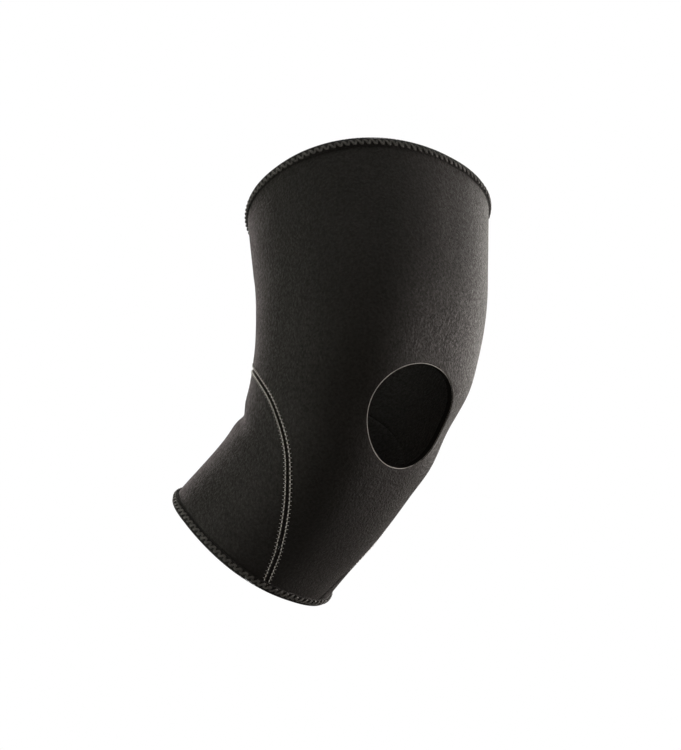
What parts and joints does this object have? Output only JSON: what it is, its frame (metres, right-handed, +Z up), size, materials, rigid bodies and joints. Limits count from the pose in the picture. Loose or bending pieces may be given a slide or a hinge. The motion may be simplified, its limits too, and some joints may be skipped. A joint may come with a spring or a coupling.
{
  "type": "knee sleeve",
  "caption": "Padded pull-on knee sleeve, kept in its bent shape, with a round kneecap opening, an arched calf panel and stitched edges.",
  "frame": {"origin": "centre of the knee inside the sleeve, where the limb's centreline passes the middle of the bend", "axes": "+X forward, to the side of the kneecap opening; +Y to one side, square to the plane the knee bends in; +Z up, along the thigh to within 2 degrees"},
  "size_m": [0.2089, 0.1546, 0.2508],
  "materials": {
    "front_fabric": "matte black nylon jersey on foam rubber",
    "back_fabric": "matte black nylon jersey on foam rubber",
    "top_hem_thread": "dark grey overlock thread",
    "bottom_hem_thread": "dark grey overlock thread"
  },
  "bodies": {
    "root": {"front_panel": "front_fabric", "back_panel": "back_fabric", "top_hem": "top_hem_thread", "bottom_hem": "bottom_hem_thread"}
  },
  "joints": []
}
